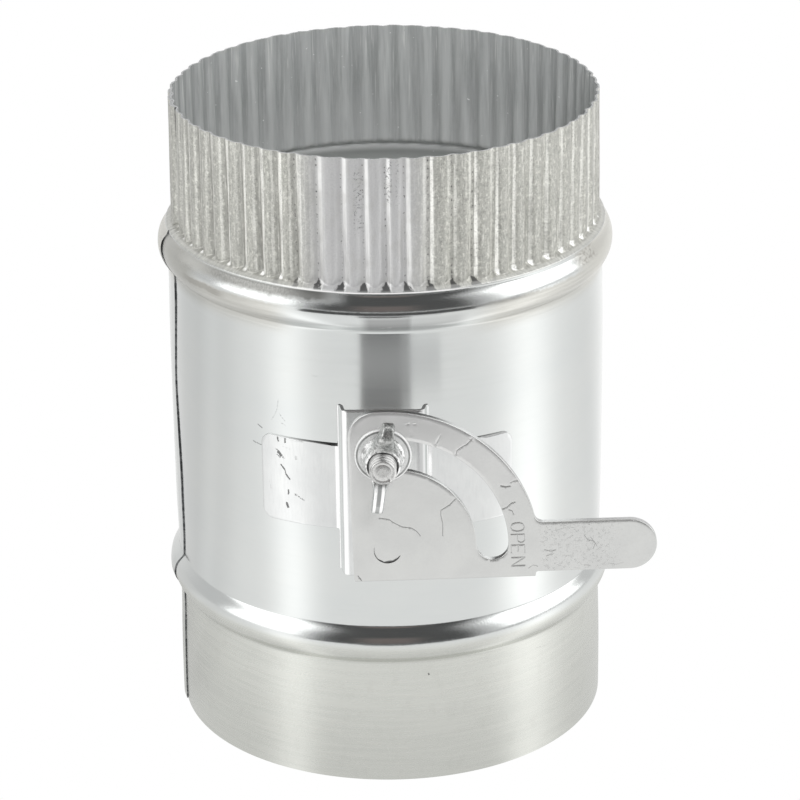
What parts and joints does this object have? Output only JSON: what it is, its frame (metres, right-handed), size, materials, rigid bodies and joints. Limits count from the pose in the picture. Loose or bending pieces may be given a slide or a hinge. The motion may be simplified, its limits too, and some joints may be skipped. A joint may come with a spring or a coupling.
{
  "type": "duct damper",
  "caption": "Round beaded sheet-metal duct sleeve with a crimped end and a pivoting damper blade, set by a slotted quadrant handle and locked by a wing nut.",
  "frame": {"origin": "centre of the plain end's rim, on the duct axis", "axes": "+Z runs along the duct axis to the crimped end, the quadrant and the shaft's front end face -Y, and the handle's tab points to +X when the blade is shut"},
  "size_m": [0.1137, 0.1216, 0.1524],
  "materials": {
    "sleeve_galvanised": "bright galvanised sheet, mirror-like between the beads and satin at the ends",
    "bracket_galvanised": "bright galvanised sheet",
    "handle_plated": "satin zinc plate, lightly scratched",
    "plated_hardware": "semi-bright zinc plate",
    "blade_galvanised": "satin galvanised sheet",
    "shaft_steel": "satin zinc plate"
  },
  "bodies": {
    "duct": {"sleeve": "sleeve_galvanised", "quadrant_bracket": "bracket_galvanised", "lock_bolt": "plated_hardware"},
    "damper": {"quadrant_handle": "handle_plated", "damper_shaft": "shaft_steel", "damper_blade": "blade_galvanised", "blade_strap_front": "blade_galvanised", "blade_strap_rear": "blade_galvanised", "strap_rivet_1": "shaft_steel", "strap_rivet_2": "shaft_steel", "strap_rivet_3": "shaft_steel", "strap_rivet_4": "shaft_steel", "rear_push_nut": "shaft_steel"},
    "washer": {"flat_washer": "plated_hardware"},
    "wing": {"wing_nut": "plated_hardware"}
  },
  "joints": [
    {"name": "damper_turn", "type": "hinge", "parent": "duct", "child": "damper", "pos_m": [0, 0, 0.0616], "axis": [0, -1, 0], "range_deg": [-1.5, 88.5]},
    {"name": "washer_slide", "type": "slide", "parent": "duct", "child": "washer", "axis": [0, -1, 0], "range_m": [0, 0.0039]},
    {"name": "wing_nut_turn", "type": "hinge", "parent": "washer", "child": "wing", "pos_m": [-0.0007, -0.06, 0.0855], "axis": [0, -1, 0], "range_deg": [0, 1080]}
  ],
  "couplings": [
    {"joint": "washer_slide", "follows": "wing_nut_turn", "m_per_rad": 0.00020213}
  ]
}
